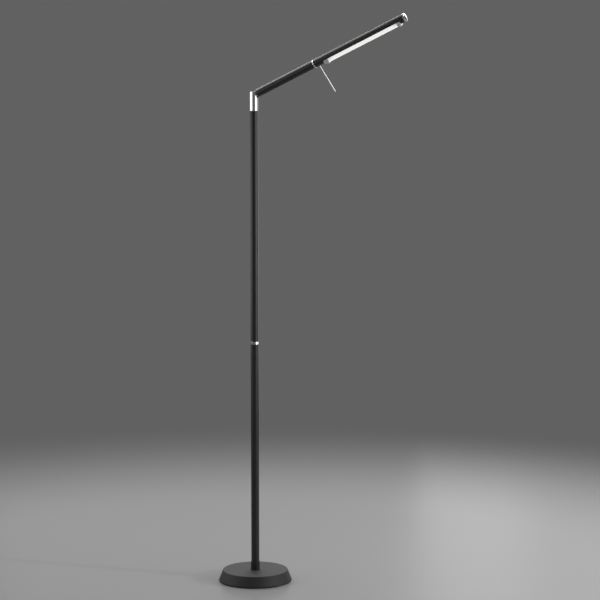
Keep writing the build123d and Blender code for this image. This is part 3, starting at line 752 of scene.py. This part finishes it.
def cheek(name, side, screw_hole):
    """One cheek: rows go up, columns go round the arc from one end of the slot to the other.

    Near the top the radius follows the crown: R - c + sqrt(c^2 - d^2) at d above its start.
    """
    rise = np.concatenate([
        np.linspace(slot_floor, pivot_height - counterbore, 6)[:-1],
        np.linspace(pivot_height - counterbore, pivot_height + counterbore, 9)[:-1],
        np.linspace(pivot_height + counterbore, fork_top - crown, 5)[:-1],
        fork_top - crown + crown * np.sin(np.linspace(0, math.pi / 2, 7)),
    ])[:, None]
    over = np.maximum(rise - (fork_top - crown), 0)
    radius = TUBE - crown + np.sqrt(crown ** 2 - over ** 2)
    reach_x = np.sqrt(radius ** 2 - slot_half ** 2)
    share = np.concatenate([np.linspace(-1, -NEAR_HOLE, 15)[:-1],
                            np.linspace(-NEAR_HOLE, NEAR_HOLE, 13)[:-1],
                            np.linspace(NEAR_HOLE, 1, 15)])[None]
    x, z = np.broadcast_arrays(reach_x * np.sin(share * math.pi / 2), rise)
    x, z = x.copy(), z - pivot_height
    keep = np.ones((len(rise) - 1, share.shape[1] - 1), bool)
    if screw_hole:
        columns = np.where(np.abs(share[0]) < 1.01 * NEAR_HOLE / 3)[0]
        half_x = float(np.abs(x[2, columns]).max())
        x, z = round_hole(x, z, half_x, counterbore, counterbore)
        row_middle = (rise[:-1, 0] + rise[1:, 0]) / 2 - pivot_height
        column_middle = (share[0, :-1] + share[0, 1:]) / 2
        keep = ~((np.abs(row_middle)[:, None] < counterbore)
                 & (np.abs(column_middle)[None] < np.abs(share[0, columns]).max()))
    height = z + pivot_height
    over = np.maximum(height - (fork_top - crown), 0)
    radius = TUBE - crown + np.sqrt(np.maximum(crown ** 2 - over ** 2, 0))
    y = np.sqrt(np.maximum(radius ** 2 - x ** 2, slot_half ** 2))
    outer_face = np.stack([height, x, side * y], -1)
    inner_face = np.stack([height, x, np.full_like(x, side * slot_half)], -1)
    return walled(name, outer_face, inner_face, keep, POLE, "fork", "polished_chrome")


cheek("fork_front_cheek", -1, False)
cheek("fork_back_cheek", 1, True)


def socket_screw(name, place, body, low, high, radius, key, finish_name, replaced):
    """A turned head whose face holds a six-sided socket.

    The rings of the face go from a circle to a hexagon: r = key / cos(angle within 60 deg).
    """
    around = 48
    turn = np.linspace(0, 2 * math.pi, around, endpoint=False)
    six = key / np.cos((turn + math.pi / 6) % (math.pi / 3) - math.pi / 6)
    depth = 0.9 * key
    edge = 0.12 * radius
    rings = [(low, np.full(around, radius)), (high - edge, np.full(around, radius))]
    for k in np.linspace(0, 1, 5)[1:]:
        fall = edge * (1 - math.sin(k * math.pi / 2))
        rings.append((high - fall, np.full(around, radius - edge * (1 - math.cos(k * math.pi / 2)))))
    rings += [(high, 1.12 * six), (high - 0.06 * key, six), (high - depth, six)]
    points = [np.stack([np.full(around, along), size * np.cos(turn), size * np.sin(turn)], -1)
              for along, size in rings]
    points += [np.array([[low, 0, 0], [high - depth - 0.25 * key, 0, 0]])]
    faces = grid_faces(len(rings), around, False, True).tolist()
    first = len(rings) * around
    j = np.arange(around)
    over = (j + 1) % around
    faces += np.stack([over, j, np.full(around, first)], 1).tolist()
    faces += np.stack([j + first - around, over + first - around, np.full(around, first + 1)], 1).tolist()
    return make(name, np.concatenate(points), faces, place, body, finish_name, replaced, sharp=30)


socket_screw("pivot_screw_head", PIVOT, "fork", slot_half + 0.1 * MM, span("pivot_screw", PIVOT)[1],
             reach("pivot_screw", PIVOT), 1.45 * MM, "blackened_steel", ["pivot_screw"])

# %% [markdown]
# Two small set screws at the back pin the pole in its collar and the arm on its knuckle.
# They are the same headless screw with a six-sided socket, so one function makes both.

# %% Set screws
set_screw, set_key, proud = 2.0 * MM, 0.95 * MM, 0.04 * MM
COLLAR_SCREW = axes((0, 0, sum(span("collar_screw", POLE)) / 2), (0, 1, 0), (0, 0, 1))
low = span("collar_screw", COLLAR_SCREW)[0]
socket_screw("collar_set_screw", COLLAR_SCREW, "stand", low, collar + proud, set_screw, set_key,
             "blackened_steel", ["collar_screw"])
knuckle_place = sum(span("knuckle_screw", ARM)) / 2
KNUCKLE_SCREW = axes(ARM[0] + ARM[1][:, 0] * knuckle_place, (0, 1, 0), arm_way)
low = span("knuckle_screw", KNUCKLE_SCREW)[0]
socket_screw("knuckle_set_screw", KNUCKLE_SCREW, "arm", low, TUBE + proud, set_screw, set_key,
             "blackened_steel", ["knuckle_screw"])

# %% [markdown]
# The knuckle is milled flat: a bar with a round eye, broken edges and a channel along its
# underside for the lead. Its outline is a half circle and two straight sides. Rows of that
# outline, a little smaller at both faces, are carried across its thickness.

# %% Knuckle
KNUCKLE = axes(pivot, (0, 1, 0), arm_way)
eye = -span("arm_knuckle", ARM)[0]
plug_start, plug_end = 14.2 * MM, span("arm_knuckle", ARM)[1]
lug_half = 3.45 * MM
channel_half, channel_top = 1.3 * MM, 4.3 * MM


def eye_outline(inset):
    """(along the arm, up) points of the eye and bar, made smaller by inset."""
    radius = eye - inset
    turn = np.linspace(math.pi / 2, 3 * math.pi / 2, 49)
    arc = np.stack([radius * np.cos(turn), radius * np.sin(turn)], -1)
    along = np.linspace(0, plug_start, 9)[1:, None]
    under = np.concatenate([along, np.full_like(along, -radius)], 1)
    above = np.concatenate([along[::-1], np.full_like(along, radius)], 1)
    return np.concatenate([arc, under, above])


edge = 0.5 * MM
bend = np.linspace(0, math.pi / 2, 6)
rows = [(-lug_half + edge * (1 - math.cos(b)), edge * (1 - math.sin(b)), False) for b in bend]
rows += [(-channel_half, 0.0, False), (-channel_half, 0.0, True), (channel_half, 0.0, True),
         (channel_half, 0.0, False)]
rows += [(-across, inset, False) for across, inset, _ in rows[5::-1]]
loops = []
for across, inset, channel in rows:
    outline = eye_outline(inset)
    up = np.maximum(outline[:, 1], -channel_top) if channel else outline[:, 1]
    loops.append(np.stack([np.full(len(outline), across), outline[:, 0], -up], -1))
count = len(loops[0])
faces = grid_faces(len(loops), count, False, True).tolist()
faces += [list(range(count))[::-1], [count * (len(loops) - 1) + k for k in range(count)]]
make("knuckle_eye", np.concatenate(loops), faces, KNUCKLE, "arm", "satin_nickel", ["arm_knuckle"])
plug_line = rounded([(plug_start, 0), (plug_start, TUBE_BORE), (plug_end, TUBE_BORE), (plug_end, 0)],
                    [0, 0.4 * MM, 0.8 * MM, 0], closed=False)
turned("knuckle_plug", plug_line, ARM, "arm", "satin_nickel", closed=False)

# %% [markdown]
# The head tube is cut open over the light. It is a grid of angles and stations along the
# head: where the window is, the cells under the tube's middle are left out, and walls close
# the sheet's thickness all round the opening.

# %% Head tube
head_low, head_high = span("head_tube", HEAD)
window = span("inner_end_block", HEAD)[0], span("tip_end_block", HEAD)[1]
light_edge = 1.4 * MM
open_angle = math.acos(-light_edge / TUBE)
upper_turn = np.linspace(-open_angle, open_angle, 57)
lower_turn = np.linspace(open_angle, 2 * math.pi - open_angle, 45)[1:-1]
turn = np.concatenate([upper_turn, lower_turn])
stations = np.concatenate([
    [head_low, head_low + 0.2 * MM], np.linspace(head_low + 0.5 * MM, window[0], 6),
    np.linspace(window[0], window[1], 25)[1:], np.linspace(window[1], head_high - 0.5 * MM, 4)[1:],
    [head_high - 0.2 * MM, head_high]])
end_trim = np.where((stations == head_low) | (stations == head_high), 0.2 * MM, 0.0)
along, around = np.broadcast_arrays(stations[:, None], turn[None])
outer_radius = (TUBE - end_trim)[:, None]
outer = np.stack([along, outer_radius * np.cos(around), outer_radius * np.sin(around)], -1)
inner = np.stack([along, TUBE_BORE * np.cos(around), TUBE_BORE * np.sin(around)], -1)
station_middle = (stations[:-1] + stations[1:]) / 2
lit = (station_middle > window[0]) & (station_middle < window[1])
below = np.arange(len(turn)) >= len(upper_turn) - 1
walled("head_tube_cut", outer, inner, ~(lit[:, None] & below[None]), HEAD, "head",
       "black_powder_coat", ["head_tube"], wrap=True)

# %% [markdown]
# The opal trough and its two end blocks share one outline: straight sides and a flat floor
# with round corners. The trough carries that outline along the head with a wall. The blocks
# are solid and a little deeper: a ramp runs out to the full depth, and a short bevel ends it.

# %% Opal trough and end blocks
half_width = span("diffuser", HEAD, 2)[1]
trough_depth = -span("diffuser", HEAD, 1)[0]
block_depth = -span("inner_end_block", HEAD, 1)[0]
trough_wall = 1.5 * MM
OUTER_CORNER, INNER_CORNER = 3.0 * MM, 1.6 * MM
EDGE, BEVEL, RAMP_SLOPE = 0.4 * MM, 1.0 * MM, 0.38


def trough_outline(half, depth, corner, steps=8):
    """(up, across) points from one upper edge, down, across the floor and up again."""
    corners = [(-light_edge, -half), (-depth, -half), (-depth, half), (-light_edge, half)]
    return rounded(corners, [0, corner, corner, 0], closed=False, steps=steps)


def carried(outline, stations):
    """The outline repeated at each station along the head."""
    along = np.asarray(stations)[:, None]
    return np.stack(np.broadcast_arrays(along, outline[None, :, 0], outline[None, :, 1]), -1)


stations = np.linspace(*trough, 41)
outer = carried(trough_outline(half_width, trough_depth, OUTER_CORNER), stations)
inner_outline = trough_outline(half_width - trough_wall, trough_depth - trough_wall, INNER_CORNER)
inner = carried(inner_outline, stations)
keep = np.ones((len(stations) - 1, outer.shape[1] - 1), bool)
walled("opal_trough", outer, inner, keep, HEAD, "head", "opal_acrylic", ["diffuser"])


def end_block(name, node, ramp):
    """A solid block: the trough's outline at each station, with its own depth and inset.

    The depth rises at a fixed slope over the ramp, stays level, and ends in a short bevel.
    """
    low, high = span(node, HEAD)
    ramp_steps = np.linspace(EDGE, ramp, 8)
    level_steps = np.linspace(ramp, high - low - BEVEL, 4)[1:]
    bevel_steps = high - low - BEVEL * np.array([0.85, 0.6, 0.3, 0.0])
    bend = EDGE * (1 - np.cos(np.linspace(0, math.pi / 2, 5)))[:-1]
    outlines = []
    for step in np.concatenate([bend, ramp_steps, level_steps, bevel_steps]):
        fall = RAMP_SLOPE * max(0.0, ramp - step) + max(0.0, step - (high - low - BEVEL))
        near_end = max(0.0, 1 - step / EDGE)
        inset = EDGE * (1 - math.sqrt(1 - near_end ** 2))
        line = trough_outline(half_width - inset, block_depth - fall - inset, OUTER_CORNER)
        outlines.append(np.concatenate([np.full((len(line), 1), low + step), line], 1))
    count = len(outlines[0])
    faces = grid_faces(len(outlines), count, False, True).tolist()
    faces += [list(range(count))[::-1], [count * (len(outlines) - 1) + k for k in range(count)]]
    return make(name, np.concatenate(outlines), faces, HEAD, "head", "white_nylon", [node])


end_block("inner_block_moulded", "inner_end_block", 10.4 * MM)
end_block("tip_block_moulded", "tip_end_block", 7.4 * MM)

# %% [markdown]
# The end cap is a low polished dome, a slice of a large sphere on a short rim. The guide rod
# is a plain bar with a fully round end, so that it is kind to the fingers. Both are turned.

# %% End cap and guide rod
cap_low, cap_high = span("end_cap", HEAD)
dome = 2.0 * MM
rim = cap_high - dome
sphere = (TUBE ** 2 + dome ** 2) / (2 * dome)
dome_radius = np.linspace(TUBE - 0.3 * MM, 0, 14)
dome_line = np.stack([cap_high - sphere + np.sqrt(sphere ** 2 - dome_radius ** 2), dome_radius], -1)
rim_line = rounded([(cap_low, TUBE_BORE), (head_high, TUBE_BORE), (head_high, TUBE), (rim, TUBE),
                    tuple(dome_line[0])], [0, 0, 0.2 * MM, 0.2 * MM, 0], closed=False)
cap_line = np.concatenate([[(cap_low, 0.0)], rim_line, dome_line[1:]])
turned("end_cap_polished", cap_line, HEAD, "head", "polished_chrome", ["end_cap"], closed=False)

rod_low, rod_high = span("guide_rod", ROD)
rod = reach("guide_rod", ROD)
quarter = np.linspace(0, math.pi / 2, 9)
round_end = np.stack([rod_high - rod + rod * np.sin(quarter), rod * np.cos(quarter)], -1)
rod_line = np.concatenate([[(rod_low, 0.0), (rod_low, rod)], round_end])
rod_line[-1, 1] = 0.0
turned("guide_rod_polished", rod_line, ROD, "head", "polished_chrome", ["guide_rod"],
       closed=False, around=40)

# %% [markdown]
# The lamp stands on a plain pale floor, lit round the base, that fades evenly into a plain
# grey room. Nothing else stands in the room, so the lamp can be looked at from every side.
# The camera looks from chest height through a long lens.

# %% Camera and floor
CAMERA_AZIMUTH, CAMERA_DISTANCE, CAMERA_HEIGHT = 28.0, 5.0, 1.2693
CAMERA_PITCH, CAMERA_YAW, CAMERA_ROLL = 5.638, 1.418, -0.054
CAMERA_LENS = 110.87

azimuth = math.radians(CAMERA_AZIMUTH)
right = np.array([math.cos(azimuth), math.sin(azimuth), 0.0])
away = np.array([-math.sin(azimuth), math.cos(azimuth), 0.0])
eye_point = -away * CAMERA_DISTANCE + (0, 0, CAMERA_HEIGHT)


def turned_towards(first, second, degrees):
    """Two square unit vectors turned in their own plane, the first towards the second."""
    turn = math.radians(degrees)
    return (first * math.cos(turn) + second * math.sin(turn),
            second * math.cos(turn) - first * math.sin(turn))


view, across = turned_towards(away, right, CAMERA_YAW)
down = np.array([0.0, 0.0, -1.0])
view, down = turned_towards(view, down, CAMERA_PITCH)
across, up = turned_towards(across, -down, CAMERA_ROLL)
camera = bpy.data.objects.new("camera", bpy.data.cameras.new("camera"))
bpy.context.scene.collection.objects.link(camera)
camera.data.lens = CAMERA_LENS
camera.data.clip_end = 500.0
matrix = np.eye(4)
matrix[:3, 0], matrix[:3, 1], matrix[:3, 2], matrix[:3, 3] = across, up, -view, eye_point
camera.matrix_world = Matrix(matrix.tolist())
bpy.context.scene.camera = camera
bpy.context.scene.view_settings.view_transform = "Standard"

ROOM_GREY = (0.12, 0.12, 0.12, 1)
FLOOR_COLOUR = (0.25, 0.25, 0.25, 1)
FLOOR_HALF = 150.0
POOL_EDGE, POOL_END = 1.0, 2.6


def studio_floor():
    """A square floor whose material turns from lit paint to an even grey between two distances."""
    mesh = bpy.data.meshes.new("studio_floor")
    corners = np.array([(-1, -1, 0), (1, -1, 0), (1, 1, 0), (-1, 1, 0)]) * FLOOR_HALF
    mesh.from_pydata(corners.tolist(), [], [(0, 1, 2, 3)])
    floor = bpy.data.objects.new("studio_floor", mesh)
    bpy.context.scene.collection.objects.link(floor)
    material = bpy.data.materials.new("studio_floor")
    material.use_nodes = True
    mesh.materials.append(material)
    tree = material.node_tree
    shader = tree.nodes["Principled BSDF"]
    shader.inputs["Base Color"].default_value = FLOOR_COLOUR
    shader.inputs["Roughness"].default_value = 0.34
    shader.inputs["Specular IOR Level"].default_value = 0.1
    start = Wire(tree)
    points = start.node("ShaderNodeTexCoord", out="Object")
    distance = points.node("ShaderNodeVectorMath", {"operation": "LENGTH"}, {0: points}, out="Value")
    dusk = start.node("ShaderNodeEmission", None, {"Color": ROOM_GREY})
    shares = {0: distance.ramp(POOL_EDGE, POOL_END), 1: Wire(tree, shader.outputs[0]), 2: dusk}
    pool = start.node("ShaderNodeMixShader", None, shares)
    tree.links.new(pool.socket, tree.nodes["Material Output"].inputs["Surface"])
    return floor


studio_floor()
print("floor side m", 2 * FLOOR_HALF, "lit pool ends at m", POOL_END)

# %% [markdown]
# Two tall soft boxes stand left and right of the lamp, with a dark gap between them behind
# the camera. That gap is the thin black line down the middle of each chromed piece. A small
# lamp on the right throws the pole's faint shadow, and one above and behind draws the bright
# edge along the top of the arm.

# %% Lights and world
world = bpy.data.worlds.new("studio")
bpy.context.scene.world = world
world.use_nodes = True
world.node_tree.nodes["Background"].inputs["Color"].default_value = ROOM_GREY
world.node_tree.nodes["Background"].inputs["Strength"].default_value = 1.0


def soft_box(name, bearing, distance, low, high, width, radiance, aim_height=None, glossy=True):
    """An area light of even radiance: bearings run from the camera's line, positive to the right.

    Its power is radiance x pi x area, as of any flat diffuse source.
    """
    data = bpy.data.lights.new(name, "AREA")
    data.shape = "RECTANGLE"
    middle = (low + high) / 2
    turn = math.radians(bearing)
    where = (-away * math.cos(turn) + right * math.sin(turn)) * distance + (0, 0, middle)
    aim = np.array([0, 0, middle if aim_height is None else aim_height])
    place = axes(where, where - aim, (0, 0, 1))
    data.size, data.size_y = width, high - low
    data.energy = radiance * math.pi * data.size * data.size_y
    lamp = bpy.data.objects.new(name, data)
    bpy.context.scene.collection.objects.link(lamp)
    matrix = np.eye(4)
    matrix[:3, 2], matrix[:3, 1], matrix[:3, 0] = place[1][:, 0], place[1][:, 1], -place[1][:, 2]
    matrix[:3, 3] = where
    lamp.matrix_world = Matrix(matrix.tolist())
    lamp.visible_camera = False
    lamp.visible_glossy = glossy
    print(f"{name}: {data.energy:.0f} W over {data.size:.2f} x {data.size_y:.2f} m")


soft_box("left_box", -88, 2.2, 0.45, 1.6, 4.1, 1.3)
soft_box("right_box", 66, 2.2, 0.3, 2.1, 2.2, 2.1)
soft_box("right_edge_box", 150, 3.0, 0.2, 2.7, 1.8, 1.2)
soft_box("low_back_box", 180, 3.0, 0.45, 1.25, 2.4, 0.9)
soft_box("high_back_box", 178, 3.0, 2.5, 4.0, 6.0, 3.4, aim_height=1.4)
soft_box("high_left_box", -112, 3.0, 3.0, 4.4, 3.0, 3.4, aim_height=1.4)
soft_box("overhead_box", 84, 1.8, 2.4, 4.4, 2.4, 1.9, aim_height=-40)
soft_box("shadow_lamp", 70, 6.0, 1.92, 2.07, 0.15, 2200, aim_height=0.4, glossy=False)

# %% [markdown]
